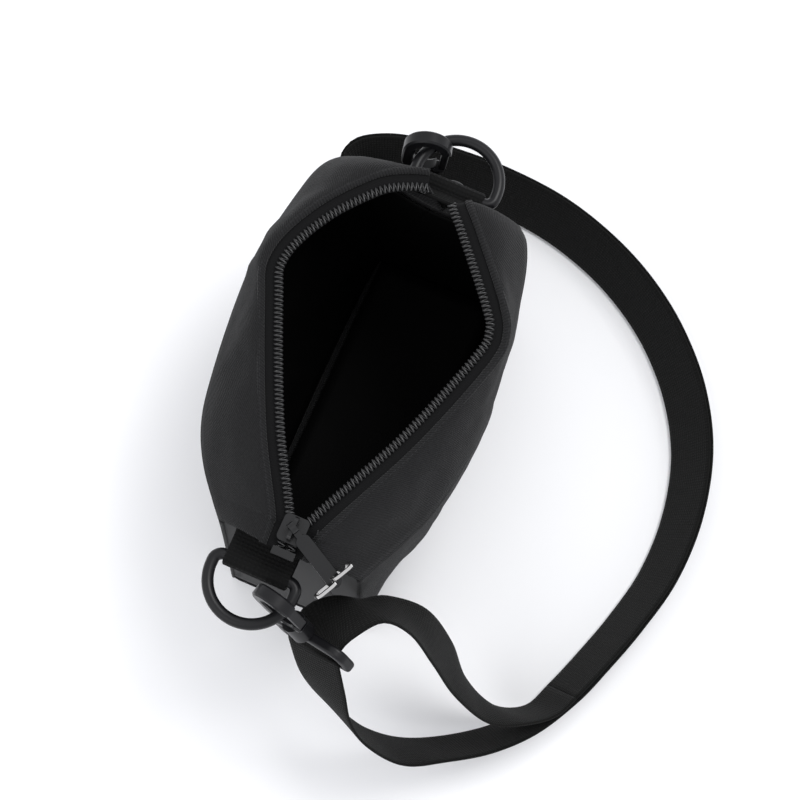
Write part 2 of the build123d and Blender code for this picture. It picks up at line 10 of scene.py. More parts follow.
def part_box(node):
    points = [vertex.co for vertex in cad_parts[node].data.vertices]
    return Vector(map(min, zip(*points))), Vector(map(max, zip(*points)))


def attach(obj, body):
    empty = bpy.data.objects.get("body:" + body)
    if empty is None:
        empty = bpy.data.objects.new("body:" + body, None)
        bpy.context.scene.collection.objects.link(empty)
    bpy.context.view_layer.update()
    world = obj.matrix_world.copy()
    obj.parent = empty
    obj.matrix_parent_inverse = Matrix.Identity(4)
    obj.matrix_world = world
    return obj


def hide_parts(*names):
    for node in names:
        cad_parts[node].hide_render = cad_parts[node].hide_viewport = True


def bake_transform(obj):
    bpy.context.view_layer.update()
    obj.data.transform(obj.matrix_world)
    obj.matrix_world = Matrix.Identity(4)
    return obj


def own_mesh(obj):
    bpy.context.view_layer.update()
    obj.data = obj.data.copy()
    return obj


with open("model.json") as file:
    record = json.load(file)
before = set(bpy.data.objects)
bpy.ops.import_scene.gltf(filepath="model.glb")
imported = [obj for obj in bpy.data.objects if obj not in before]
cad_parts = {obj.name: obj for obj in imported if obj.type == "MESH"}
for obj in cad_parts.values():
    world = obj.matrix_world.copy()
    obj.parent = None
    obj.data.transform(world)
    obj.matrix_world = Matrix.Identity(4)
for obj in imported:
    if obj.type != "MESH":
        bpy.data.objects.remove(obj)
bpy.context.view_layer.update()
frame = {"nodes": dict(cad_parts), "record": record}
MM = 0.001                             # lengths below are in millimetres where nothing else is said

# ------------------------------------------------------------------ places taken from the frame
base_low, base_high = (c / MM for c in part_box("base_panel"))
panel_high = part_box("back_panel")[1] / MM
coil_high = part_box("back_zip_coil")[1] / MM
half_length = (base_high.x - base_low.x) / 2
half_width = (base_high.y - base_low.y) / 2
seam_z = panel_high.z                  # seam round the top of the panels
coil_z = coil_high.z - 1.2             # middle of the coils where they lie lowest
bow = 8.0                              # how much the slack mouth stands up between its ends
cloth = 1.2                            # thickness of the shell's cloth
thin_cloth = 0.5                       # thickness of the lining and of a folded edge
lining_step = 2.6                      # how far the lining stands inside the shell

# Half of the plan along the seam, from the near end to the far end.
BACK_SEAM = (
    (-92, 37), (-71, 55), (-50, 66), (-24, 71.5), (14, 76),
    (41, 76.5), (78, 71), (96, 66), (105, 57), (107, 45),
)
FRONT_SEAM = (
    (-92, -37), (-81, -42), (-64, -50), (-46, -57), (-20, -61.5),
    (2, -62.5), (28, -61), (76, -53), (98, -46), (106, -39),
)
# Course of the coils' middles from the slider to the far stop.
BACK_MOUTH = (
    (-96, 2.6), (-86, 3.2), (-78, 5), (-40, 27), (16, 53),
    (37, 59.5), (64, 49), (88, 30), (98, 16), (101, 9),
)
FRONT_MOUTH = (
    (-96, -2.6), (-86, -3.2), (-78, -5.5), (-25, -30), (28, -47.5),
    (43, -48.5), (54, -42), (81, -19), (93, -8), (97, -5),
)


# ------------------------------------------------------------------ curves and meshes
def distance_along(points):
    """How far along a line each of its points lies."""
    return np.concatenate([[0], np.cumsum(np.linalg.norm(np.diff(points, axis=0), axis=1))])


def smooth(points, count):
    """Points evenly spaced along a Catmull-Rom curve through the given ones."""
    p = np.array(points, float)
    p = np.vstack([2 * p[0] - p[1], p, 2 * p[-1] - p[-2]])
    t = np.linspace(0, 1, 24, endpoint=False)[:, None]
    out = []
    for a, b, c, d in zip(p, p[1:], p[2:], p[3:]):
        square, cube = 2 * a - 5 * b + 4 * c - d, 3 * b - a - 3 * c + d
        out.append(0.5 * (2 * b + (c - a) * t + square * t**2 + cube * t**3))
    dense = np.vstack(out + [p[-2][None]])
    run = distance_along(dense)
    at = np.linspace(0, run[-1], count)
    return np.stack([np.interp(at, run, dense[:, k]) for k in range(dense.shape[1])], 1)


def length(points):
    """Length of a line through points."""
    return float(np.linalg.norm(np.diff(points, axis=0), axis=1).sum())


def unit(v):
    """Vectors scaled to length one."""
    return v / np.maximum(np.linalg.norm(v, axis=-1, keepdims=True), 1e-9)


def build(name, verts, faces, uvs=None, material=None):
    """Mesh object from points in millimetres; uvs is one pair per corner, in metres."""
    mesh = bpy.data.meshes.new(name)
    mesh.from_pydata([tuple(float(c) * MM for c in v) for v in verts], [], faces)
    if uvs is not None:
        layer = mesh.uv_layers.new(name="UVMap")
        layer.data.foreach_set("uv", np.array(uvs, np.float32).ravel())
    mesh.shade_smooth()
    obj = bpy.data.objects.new(name, mesh)
    bpy.context.collection.objects.link(obj)
    if material:
        mesh.materials.append(material)
    return obj


def normals(rows):
    """Direction that a grid of points faces at each point."""
    along = np.gradient(rows, axis=1)
    down = np.gradient(rows, axis=0)
    return unit(np.cross(along, down))


def cloth_piece(name, rows, thickness, material, flip=1):
    """Closed sheet whose outer face is the grid rows and whose thickness lies behind it."""
    rows = np.array(rows, float)
    m, n, _ = rows.shape
    inner = rows - normals(rows) * thickness * flip
    verts = np.vstack([rows.reshape(-1, 3), inner.reshape(-1, 3)])
    across, down = (np.linalg.norm(np.diff(rows, axis=k), axis=2) for k in (1, 0))
    u = np.concatenate([np.zeros((m, 1)), np.cumsum(across, 1)], 1)
    v = np.concatenate([np.zeros((1, n)), np.cumsum(down, 0)], 0)
    uv_at = np.stack([u, v], 2).reshape(-1, 2) * MM
    faces = []
    half = m * n
    for i in range(m - 1):
        for j in range(n - 1):
            a, d = i * n + j, (i + 1) * n + j
            b, c = a + 1, d + 1
            faces.append((a, b, c, d))
            faces.append((half + d, half + c, half + b, half + a))
    edge = [(0, j) for j in range(n)] + [(i, n - 1) for i in range(1, m)]
    edge += [(m - 1, j) for j in range(n - 2, -1, -1)] + [(i, 0) for i in range(m - 2, 0, -1)]
    ids = [i * n + j for i, j in edge]
    for a, b in zip(ids, ids[1:] + ids[:1]):
        faces.append((b, a, half + a, half + b))
    if flip < 0:
        faces = [tuple(reversed(f)) for f in faces]
    uvs = [uv_at[k % half] for f in faces for k in f]
    return build(name, verts, faces, uvs, material)


def frames_along(path):
    """Two side directions at each point of a path, turning as little as they can."""
    tangent = unit(np.gradient(path, axis=0))
    side = np.cross(tangent[0], [0.0, 0.0, 1.0])
    if np.linalg.norm(side) < 1e-3:
        side = np.array([1.0, 0.0, 0.0])
    sides = []
    for t in tangent:
        side = unit(side - t * side.dot(t))
        sides.append(side)
    sides = np.array(sides)
    return sides, np.cross(tangent, sides)


def tube(name, path, radius, material, ring=8):
    """Round cord along a path."""
    path = np.array(path, float)
    turn = np.linspace(0, 2 * math.pi, ring, endpoint=False)[:, None]
    rings = [
        point + radius * (np.cos(turn) * side + np.sin(turn) * other)
        for point, side, other in zip(path, *frames_along(path))
    ]
    verts = np.vstack(rings)
    faces, uvs = [], []
    run = distance_along(path) * MM
    round_length = 2 * math.pi * radius * MM
    for i in range(len(path) - 1):
        for j in range(ring):
            k = (j + 1) % ring
            faces.append((i * ring + j, i * ring + k, (i + 1) * ring + k, (i + 1) * ring + j))
            low, high = (part / ring * round_length for part in (j, j + 1))
            uvs += [(run[i], low), (run[i], high), (run[i + 1], high), (run[i + 1], low)]
    last = (len(path) - 1) * ring
    faces.append(tuple(reversed(range(ring))))
    faces.append(tuple(range(last, last + ring)))
    uvs += [(0, 0)] * (2 * ring)
    return build(name, verts, faces, uvs, material)


def crumple(rows, amount, size, seed, hold=None):
    """Moves a grid in and out along its normals like soft folds.

    amount is the folds' height, size their width; hold is how much each point may move.
    """
    n = normals(rows)
    out = rows.copy()
    for i in range(rows.shape[0]):
        for j in range(rows.shape[1]):
            p = Vector(rows[i, j]) / size + Vector((seed, seed * 0.7, 0))
            push = noise.fractal(p, 1.0, 2.0, 3) * amount
            if hold is not None:
                push *= hold[i, j]
            out[i, j] += n[i, j] * push
    return out


# ------------------------------------------------------------------ materials
def nodes_for(name, color, roughness):
    """New material with its node tree and its shader."""
    material = bpy.data.materials.new(name)
    material.use_nodes = True
    tree = material.node_tree
    shader = tree.nodes["Principled BSDF"]
    shader.inputs["Base Color"].default_value = (*color, 1)
    shader.inputs["Roughness"].default_value = roughness
    return material, tree, shader


def link(tree, a, b):
    """Joins an output to an input."""
    tree.links.new(a, b)


def texture(tree, kind, scale, vector, **settings):
    """Texture node at a scale, with settings for its sockets or for itself."""
    node = tree.nodes.new(kind)
    node.inputs["Scale"].default_value = scale
    for key, value in settings.items():
        if key in node.inputs:
            node.inputs[key].default_value = value
        else:
            setattr(node, key, value)
    link(tree, vector, node.inputs["Vector"])
    return node


def maths(tree, operation, a, b):
    """Output of one sum; each side is a number or another output."""
    node = tree.nodes.new("ShaderNodeMath")
    node.operation = operation
    for socket, value in zip(node.inputs, (a, b)):
        if isinstance(value, (int, float)):
            socket.default_value = value
        else:
            link(tree, value, socket)
    return node.outputs[0]


WAVES = 0.314                          # a wave texture's scale for one thread per metre
GRAIN, CLOUD, FLOW = 900.0, 28.0, 60.0  # scales of noise: threads, faded patches, uneven gloss
FADE = 0.12                            # how much faded patches show


def relief(tree, shader, source, strength, depth):
    """Bumps on a shader from an output; depth is their height in metres."""
    height = tree.nodes.new("ShaderNodeBump")
    height.inputs["Strength"].default_value = strength
    height.inputs["Distance"].default_value = depth
    link(tree, source, height.inputs["Height"])
    link(tree, height.outputs[0], shader.inputs["Normal"])


def fabric(name, color, pitch, weave, contrast, bump, sheen, roughness=0.85, specular=0.14):
    """Woven cloth: threads from waves in the piece's own UV map, wear and unevenness from noise."""
    material, tree, shader = nodes_for(name, color, roughness)
    uv = tree.nodes.new("ShaderNodeUVMap").outputs[0]
    scale = WAVES / (pitch * MM)
    if weave == "twill":
        diagonal = {"bands_direction": "DIAGONAL", "Distortion": 1.2}
        threads = texture(tree, "ShaderNodeTexWave", scale * 1.4, uv, **diagonal).outputs["Fac"]
    else:
        a = texture(tree, "ShaderNodeTexWave", scale, uv, bands_direction="X", Distortion=0.4)
        b = texture(tree, "ShaderNodeTexWave", scale * 0.8, uv, bands_direction="Y", Distortion=0.4)
        crossed = maths(tree, "ADD", b.outputs["Fac"], 0.35)
        threads = maths(tree, "MULTIPLY", a.outputs["Fac"], crossed)
    grain = texture(tree, "ShaderNodeTexNoise", GRAIN, uv, Detail=2.0)
    cloud = texture(tree, "ShaderNodeTexNoise", CLOUD, uv, Detail=4.0)
    threads = maths(tree, "MULTIPLY", threads, contrast)
    grains = maths(tree, "MULTIPLY", grain.outputs["Fac"], contrast * 1.6)
    patches = maths(tree, "MULTIPLY", cloud.outputs["Fac"], FADE * 2)
    value = maths(tree, "ADD", maths(tree, "ADD", threads, grains), patches)
    ramp = tree.nodes.new("ShaderNodeMapRange")
    link(tree, value, ramp.inputs["Value"])
    ramp.inputs["From Min"].default_value = 0.0
    ramp.inputs["From Max"].default_value = contrast * 2.6 + FADE * 2
    ramp.inputs["To Min"].default_value = 1 - contrast
    ramp.inputs["To Max"].default_value = 1 + contrast
    tone = tree.nodes.new("ShaderNodeVectorMath")
    tone.operation = "SCALE"
    tone.inputs[0].default_value = color
    link(tree, ramp.outputs[0], tone.inputs["Scale"])
    link(tree, tone.outputs[0], shader.inputs["Base Color"])
    relief(tree, shader, value, bump, 0.0004)
    shader.inputs["Sheen Weight"].default_value = sheen
    shader.inputs["Sheen Roughness"].default_value = 0.5
    shader.inputs["Specular IOR Level"].default_value = specular
    return material


def hard(name, color, roughness, metallic=0.0, grain=0.03, coat=0.0, specular=0.5):
    """Moulded or cast material with a faintly uneven gloss and surface."""
    material, tree, shader = nodes_for(name, color, roughness)
    shader.inputs["Metallic"].default_value = metallic
    shader.inputs["Coat Weight"].default_value = coat
    shader.inputs["Specular IOR Level"].default_value = specular
    coordinates = tree.nodes.new("ShaderNodeTexCoord").outputs["Object"]
    fine = texture(tree, "ShaderNodeTexNoise", 400.0, coordinates, Detail=3.0)
    broad = texture(tree, "ShaderNodeTexNoise", FLOW, coordinates, Detail=2.0)
    uneven = maths(tree, "MULTIPLY", broad.outputs["Fac"], 0.18)
    gloss = maths(tree, "ADD", uneven, roughness - 0.09)
    link(tree, gloss, shader.inputs["Roughness"])
    relief(tree, shader, fine.outputs["Fac"], grain, 0.0003)
    return material


# name, colour, thread pitch, weave, contrast, bump, sheen
shell_cloth = fabric("shell_cloth", (0.0108, 0.0108, 0.0113), 1.1, "twill", 0.80, 0.8, 0.06)
end_cloth = fabric("end_cloth", (0.0095, 0.0095, 0.0100), 0.8, "twill", 0.15, 0.15, 0.12)
black_cloth = fabric(
    "lining_cloth", (0.002, 0.002, 0.002), 0.7, "twill", 0.25, 0.1, 0.0,
    roughness=0.7, specular=0.08,
)
tape_cloth = fabric("tape_cloth", (0.0035, 0.0035, 0.0038), 1.4, "plain", 0.3, 0.3, 0.02)
strap_cloth = fabric("strap_cloth", (0.0046, 0.0047, 0.0044), 1.5, "plain", 0.6, 0.8, 0.03)
rib_cloth = fabric("rib_cloth", (0.0036, 0.0036, 0.0036), 2.0, "plain", 0.6, 0.9, 0.02)
seam_cloth = fabric("seam_cloth", (0.010, 0.010, 0.0105), 1.0, "plain", 0.3, 0.3, 0.08)
thread = fabric("thread", (0.028, 0.028, 0.030), 0.6, "plain", 0.3, 0.3, 0.1)
# name, colour, roughness
coil_plastic = hard("coil_plastic", (0.014, 0.014, 0.0145), 0.34, coat=0.1)
moulded = hard("moulded_plastic", (0.0065, 0.0065, 0.0075), 0.36, grain=0.05, specular=0.24)
black_metal = hard("black_metal", (0.0040, 0.0040, 0.0045), 0.30, coat=0.15, specular=0.35)
nickel = hard("nickel", (0.62, 0.61, 0.60), 0.16, metallic=1.0)
board = hard("board", (0.1, 0.1, 0.1), 0.7, grain=0.2)


def finish_piece(obj, nodes=(), body="bag", side=0):
    """Places a soft piece on its body; side is +1 or -1 for a piece that closing the zip draws in,
    and such a piece gets a mesh of its own.
    """
    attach(obj, body)
    if nodes:
        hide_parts(*nodes)
    if side:
        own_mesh(obj)
    return obj


def sewn(name, rows, thickness, material, face, nodes=(), side=0):
    """Cloth sewn into the bag, its outer face on the rows."""
    finish_piece(cloth_piece(name, rows, thickness, material, flip=face), nodes, side=side)


# ------------------------------------------------------------------ the bag's shell
LEVELS = 26                            # rows of a panel, from the base to the seam
STATIONS = 90                          # points of each row
SIDES = ((1, "back"), (-1, "front"))
ENDS = ((1, "far"), (-1, "near"))
RISE_FROM, RISE_OVER = -84, 50         # where the mouth starts to stand up, and over what length
FALL_TO, FALL_OVER = 103, 16           # where it has come down again, and over what length
edge_gap = 7.4                         # coil's middle to the cloth's folded edge


def seam_points(side, count=STATIONS):
    """The seam along the top of one panel."""
    plan = smooth(BACK_SEAM if side > 0 else FRONT_SEAM, count)
    return np.column_stack([plan, np.full(len(plan), seam_z)])


def base_points(side, count=STATIONS):
    """The edge between one panel and the base."""
    x = np.linspace(-half_length, half_length, count)
    return np.column_stack([x, np.full(count, side * half_width), np.full(count, base_low.z)])


def bulge_at(share):
    """How far a panel has reached its top shape, by the share of its height."""
    return np.sin(share * math.pi / 2) ** 0.85


def panel_rows(side, inset=0.0):
    """Grid of one panel, moved in by inset."""
    low, high = base_points(side), seam_points(side)
    rows = []
    for share in np.linspace(0, 1, LEVELS):
        row = low + (high - low) * bulge_at(share)
        row[:, 0] = low[:, 0] + (high[:, 0] - low[:, 0]) * share
        row[:, 2] = low[:, 2] + (high[:, 2] - low[:, 2]) * share
        row[:, 1] -= side * inset
        row[:, 0] *= 1 - inset / half_length
        rows.append(row)
    return np.array(rows)


def calm_edges(rows, share=0.12):
    """How much each point of a grid may move: nothing at its edges."""
    m, n = rows.shape[:2]
    i = np.minimum(np.arange(m), np.arange(m)[::-1]) / (m * share)
    j = np.minimum(np.arange(n), np.arange(n)[::-1]) / (n * share)
    return np.clip(i, 0, 1)[:, None] * np.clip(j, 0, 1)[None, :]


def mouth_points(side, out=0.0, down=0.0, count=STATIONS):
    """Course of one coil's middle, moved out from the mouth and down."""
    plan = smooth(BACK_MOUTH if side > 0 else FRONT_MOUTH, count)
    direction = unit(np.gradient(plan, axis=0))
    outward = np.column_stack([-direction[:, 1], direction[:, 0]]) * side
    x = plan[:, 0]
    rise = np.clip((x - RISE_FROM) / RISE_OVER, 0, 1) * np.clip((FALL_TO - x) / FALL_OVER, 0, 1)
    height = coil_z + bow * np.sin(rise * math.pi / 2)
    return np.column_stack([plan + outward * out, height - down])


def panel(side, word):
    """Front or back panel; its folds stand out, so that the lining stays behind it."""
    rows = panel_rows(side)
    flat_y = side * rows[:, :, 1]
    rows = crumple(rows, 2.2, 42.0, 3 + side, calm_edges(rows))
    rows[:, :, 1] = side * np.maximum(side * rows[:, :, 1], flat_y - 0.3)
    nodes = [f"{word}_panel"]
    sewn(f"{word}_panel_cloth", rows, cloth, shell_cloth, side, nodes, side)


def top_strip(side, word):
    """Band of cloth between the seam and the zip."""
    arch = 1.2                         # how much the strip swells between its two edges
    seam = seam_points(side)
    rim = mouth_points(side, edge_gap, 1.0)
    rows = []
    for share in np.linspace(0, 1, 16):
        row = seam + (rim - seam) * share
        climb = (rim[:, 2] - seam[:, 2]) * np.sin(share * math.pi / 2) ** 0.9
        row[:, 2] = seam[:, 2] + climb + arch * np.sin(math.pi * share)
        rows.append(row)
    rows = np.array(rows)
    rows = crumple(rows, 2.2, 30.0, 9 + side, calm_edges(rows, 0.2))
    nodes = [f"{word}_top_strip"]
    sewn(f"{word}_strip_cloth", rows, cloth, shell_cloth, side, nodes, side)


def edge_fold(side, word):
    """The strip's cloth folded under beside the tape."""
    section = ((2.9, 1.0), (2.5, 0.1), (1.3, -0.35), (0.2, 0.0), (-0.1, 0.7))
    rows = np.array([mouth_points(side, edge_gap + step, drop) for step, drop in section])
    sewn(f"{word}_edge_fold", rows, thin_cloth, shell_cloth, side, side=side)


def edge_stitches(side, word):
    """Row of stitches along the folded edge, each a small square rod."""
    count, first, past, stitch, pitch = 560, 4, 552, 4, 7
    half_wide, half_high = 0.28, 0.25
    section = ((-half_wide, 0), (0, half_high), (half_wide, 0), (0, -half_high))
    line = mouth_points(side, edge_gap + 1.9, -0.45, count)
    verts, faces = [], []
    for k in range(first, past, pitch):
        a, b = line[k], line[k + stitch]
        out = unit(np.cross(unit(b - a), [0, 0, 1.0]))
        start = len(verts)
        for p in (a, b):
            verts += [p + out * dx + np.array([0, 0, dz]) for dx, dz in section]
        for i in range(4):
            j = (i + 1) % 4
            faces.append((start + i, start + j, start + 4 + j, start + 4 + i))
        faces += [tuple(start + i for i in cap) for cap in ((3, 2, 1, 0), (4, 5, 6, 7))]
    uvs = [(0, 0)] * (4 * len(faces))
    piece = build(f"{word}_edge_stitches", verts, faces, uvs, thread)
    finish_piece(piece, side=side)


def seam_welt(side, word):
    """Turned seam along the top of a panel."""
    line = seam_points(side) + np.array([0, side * 0.3, 0.2])
    finish_piece(tube(f"{word}_seam_welt", line, 0.95, seam_cloth), side=side)


def zip_tape(side, word):
    """Woven tape that carries one coil."""
    lanes = (-1.8, 1, 4, 7, 9.8)       # from beyond the coil's middle to under the folded edge
    rows = np.array([mouth_points(side, out, 1.35 - 0.02 * out) for out in lanes])
    sewn(f"{word}_tape", rows, 0.6, tape_cloth, side, [f"{word}_zip_tape"], side)


def zip_coil(side, word):
    """Coil of one wire, flattened, along the mouth."""
    samples, pitch, wire, steps_per_turn = 700, 2.3, 0.48, 12
    half_across, half_high = 2.05, 0.75
    line = mouth_points(side, 0, 0, samples)
    turns = int(length(line) / pitch)
    steps = turns * steps_per_turn
    at = np.linspace(0, samples - 1, steps)
    centre = np.stack([np.interp(at, np.arange(samples), line[:, k]) for k in range(3)], 1)
    direction = unit(np.gradient(centre, axis=0))
    across = unit(np.cross(direction, [0, 0, 1.0]))
    angle = np.linspace(0, turns * 2 * math.pi, steps)[:, None]
    lift = np.array([0, 0, 1.0]) * np.sin(angle) * half_high
    helix = centre + across * np.cos(angle) * half_across + lift
    piece = tube(f"{word}_coil", helix, wire, coil_plastic, ring=6)
    finish_piece(piece, [f"{word}_zip_coil"], side=side)


def side_lining(side, word):
    """Lining behind a panel and its strip; its folds only go inwards."""
    wall = panel_rows(side, lining_step)[1:]
    top = mouth_points(side, 8.6, 2.0)
    under = np.array([wall[-1] + (top - wall[-1]) * share for share in (0.35, 0.7, 1.0)])
    under[:, :, 2] -= 1.2
    rows = np.vstack([wall, under])
    rows[:, :, 1] = side * np.maximum(side * rows[:, :, 1], 1.0)
    flat_y = side * rows[:, :, 1]
    rows = crumple(rows, 3.2, 26.0, 20 + side, calm_edges(rows, 0.15))
    rows[:, :, 1] = side * np.minimum(side * rows[:, :, 1], flat_y + 0.1)
    nodes = ["lining"] if side > 0 else ()
    sewn(f"{word}_lining", rows, thin_cloth, black_cloth, side, nodes, side)


for side, word in SIDES:
    for part in (
        panel, top_strip, edge_fold, edge_stitches, seam_welt, zip_tape, zip_coil, side_lining
    ):
        part(side, word)


# ------------------------------------------------------------------ ends
END_TOP = {1: 106.5, -1: 92}           # where along X each end stands at the seam
END_SPREAD = {1: 6, -1: -1}            # how much wider than the base its middle is there
END_DIP = 7.0                          # how far its middle sinks in
SEAM_REACH = {(1, 1): 45, (1, -1): 39, (-1, 1): 37, (-1, -1): 37}  # half widths, by end and side
tent = half_width / (coil_z + bow)     # slope of the plane that each side is drawn in to


def end_rows(end, y_from, y_to, z_top, inset=0.0):
    """Grid of one end between two widths, each a function of height."""
    count = 16
    rows = []
    for share in np.linspace(0, 1, 22):
        z = base_low.z + (z_top - base_low.z) * share
        across = np.linspace(y_from(z), y_to(z), count)
        wide = half_width + END_SPREAD[end] * share
        lean = (half_length - (half_length - END_TOP[end]) * share) - inset
        dip = END_DIP * share**2 * np.cos(np.clip(across / wide, -1, 1) * math.pi / 2)
        rows.append(np.column_stack([end * (lean - dip), across, np.full(count, z)]))
    return np.array(rows)


def outer(end, side):
    """Where an end meets a panel, as a function of height."""
    return lambda z: side * (half_width + (SEAM_REACH[end, side] - half_width) * (z / seam_z))


def inner(side):
    """Where an end's middle meets its folding side part, as a function of height."""
    return lambda z: side * max(half_width - tent * z, 1.0)


def end_panels(end, word):
    """Middle and two folding side parts of one end, each with its lining."""
    parts = (
        ("middle", inner(-1), inner(1), 0),
        ("back", inner(1), outer(end, 1), 1),
        ("front", outer(end, -1), inner(-1), -1),
    )
    for part, a, b, side in parts:
        nodes = [f"{word}_gusset"] if part == "middle" else ()
        rows = end_rows(end, a, b, seam_z)
        sewn(f"{word}_end_{part}", rows, cloth, end_cloth, end, nodes, side)
        rows = end_rows(end, a, b, seam_z - 2, lining_step)
        name = f"{word}_end_lining_{part}"
        sewn(name, rows, thin_cloth, black_cloth, end, side=side)


def gable(end, word, side, part):
    """Cloth between the seam and one strip's end."""
    foot = end_rows(end, lambda z: 0.0, outer(end, side), seam_z)[-1]
    tip = mouth_points(side, 3.0, 4.0)[-1 if end > 0 else 0]
    rows = np.array([foot + (tip - foot) * share for share in np.linspace(0, 0.97, 8)])
    sewn(f"{word}_gable_{part}", rows, cloth, shell_cloth, end * side, side=side)


def corner_welt(end, word, side, part):
    """Turned seam up one corner."""
    column = panel_rows(side)[:, -1 if end > 0 else 0]
    piece = tube(f"{word}_{part}_corner_welt", column, 0.9, seam_cloth)
    finish_piece(piece, side=side)


for end, word in ENDS:
    end_panels(end, word)
    for make in (gable, corner_welt):
        for side, part in SIDES:
            make(end, word, side, part)

# ------------------------------------------------------------------ base
floor_rows = np.array([
    np.column_stack([
        np.linspace(-half_length, half_length, 30), np.full(30, y), np.full(30, base_low.z + 1.3)
    ])
    for y in np.linspace(-half_width, half_width, 12)
])
sewn("base_cloth", floor_rows, cloth, shell_cloth, 1, ["base_panel"])
inside = floor_rows * np.array([0.955, 0.92, 0]) + np.array([0, 0, 7.2])
sewn("floor_lining", crumple(inside, 0.8, 30, 5), thin_cloth, black_cloth, 1)
corners = ((-1, -1), (1, -1), (1, 1), (-1, 1), (-1, -1))
outline = np.array([(half_length * i, half_width * j, 1.2) for i, j in corners])
dense = np.vstack([
    np.linspace(a, b, 20, endpoint=False) for a, b in zip(outline, outline[1:])
] + [outline[-1:]])
finish_piece(tube("base_welt", dense, 1.0, seam_cloth))


# ------------------------------------------------------------------ webbing
def ribbon_course(stations, step=3.0, spread=18.0):
    """Evenly spaced middle points, edge directions and face directions through the stations.

    A station is a place and the direction of the ribbon's width there.
    """
    points = np.array([s[0] for s in stations], float)
    edges = unit(np.array([s[1] for s in stations], float))
    run = unit(np.gradient(points, axis=0))
    edges = unit(edges - run * (edges * run).sum(1, keepdims=True))
    both = smooth(np.hstack([points, edges * spread]), int(length(points) / step))
    course = both[:, :3]
    tangent = unit(np.gradient(course, axis=0))
    edge = unit(both[:, 3:] - tangent * (both[:, 3:] * tangent).sum(1, keepdims=True))
    return np.stack([course, edge, np.cross(tangent, edge)], 1)


def ribbon(name, course, material, width=38.0, thickness=1.4):
    """Woven ribbon along a course; returns it and its length in metres."""
    half, selvedge, rim = width / 2, 0.6, 0.25
    lanes = np.linspace(-half + selvedge, half - selvedge, 15)
    profile = [(lane, thickness / 2) for lane in lanes] + [(half, rim), (half, -rim)]
    profile += [(lane, -thickness / 2) for lane in lanes[::-1]] + [(-half, -rim), (-half, rim)]
    ring = len(profile)
    verts = np.vstack([[p + e * a + f * b for a, b in profile] for p, e, f in course])
    run = distance_along(course[:, 0]) * MM
    faces, uvs = [], []
    for i in range(len(course) - 1):
        for j in range(ring):
            k = (j + 1) % ring
            faces.append((i * ring + j, (i + 1) * ring + j, (i + 1) * ring + k, i * ring + k))
            va, vb = profile[j][0] * MM, profile[k][0] * MM
            uvs += [(run[i], va), (run[i + 1], va), (run[i + 1], vb), (run[i], vb)]
    last = (len(course) - 1) * ring
    faces.append(tuple(range(ring)))
    faces.append(tuple(reversed(range(last, last + ring))))
    uvs += [(0, 0)] * (2 * ring)
    return build(name, verts, faces, uvs, material), float(run[-1])


joints = {j["name"]: j for j in frame["record"]["behaviour"]["joints"]}
strap_gap = 0.95                       # half the distance between the doubled strap's two layers
wrap_radius = 4.25                     # webbing's middle round a hook's bar
swivel_height = 18.5                   # hook's swivel above its bar


def hook_axes(end):
    """A hook's origin on its webbing bar, and its three directions."""
    swivel = joints[f"{end}_hook_swivel"]
    y = unit(np.array(swivel["axis"], float))
    z = unit(np.array(joints[f"{end}_hook_gate_turn"]["axis"], float))
    return np.array(swivel["pos_m"]) / MM - y * swivel_height, np.cross(y, z), y, z


def on_bar(axes, edge, turn):
    """Station of webbing wrapped round a hook's bar, at a turn in degrees."""
    origin, _, y, z = axes
    angle = math.radians(turn)
    return (origin + wrap_radius * (z * math.cos(angle) + y * math.sin(angle)), edge)


near_axes, far_axes = hook_axes("near"), hook_axes("far")
slide = joints["adjuster_slide"]
adjuster_at = np.array(slide["pos_m"]) / MM
adjuster_y = unit(np.array(slide["axis"], float))
adjuster_x = unit(-far_axes[1] + adjuster_y * far_axes[1].dot(adjuster_y))
adjuster_z = np.cross(adjuster_x, adjuster_y)


def at_adjuster(along, out):
    """Station at a place along the adjuster and out of its plane."""
    return (adjuster_at + adjuster_y * along + adjuster_z * out, adjuster_x)


# Middle of the doubled strap from behind the far end round to where its layers part.
DOUBLED = (
    ((128.0, 43.5, 28.0), (-0.15, 0.88, 0.42)),
    ((129.8, 52.0, 23.5), (-0.15, 0.70, 0.70)),
    ((132.5, 62.0, 21.5), (-0.12, 0.48, 0.86)),
    ((137.5, 70.0, 20.0), (-0.08, 0.32, 0.94)),
    ((144.5, 70.5, 19.3), (0.10, 0.25, 0.96)),
    ((150.5, 63.0, 18.8), (0.30, 0.15, 0.94)),
    ((156.5, 46.0, 18.7), (0.38, 0.06, 0.92)),
    ((160.0, 18.0, 18.7), (0.40, 0.00, 0.92)),
    ((161.0, -14.0, 18.7), (0.40, -0.05, 0.92)),
    ((157.5, -48.0, 18.7), (0.40, -0.10, 0.92)),
    ((148.0, -80.0, 18.7), (0.38, -0.15, 0.92)),
    ((134.0, -108.0, 18.7), (0.35, -0.22, 0.91)),
    ((115.0, -133.0, 18.7), (0.30, -0.30, 0.91)),
    ((90.0, -155.0, 18.7), (0.22, -0.38, 0.90)),
    ((60.0, -171.0, 18.7), (0.15, -0.42, 0.90)),
    ((25.0, -179.0, 18.7), (0.05, -0.45, 0.90)),
    ((-10.0, -179.0, 18.7), (-0.02, -0.45, 0.90)),
    ((-42.0, -172.0, 18.7), (-0.08, -0.43, 0.90)),
    ((-70.0, -163.0, 18.7), (-0.10, -0.42, 0.90)),
    ((-90.0, -155.5, 18.9), (-0.11, -0.41, 0.90)),
)
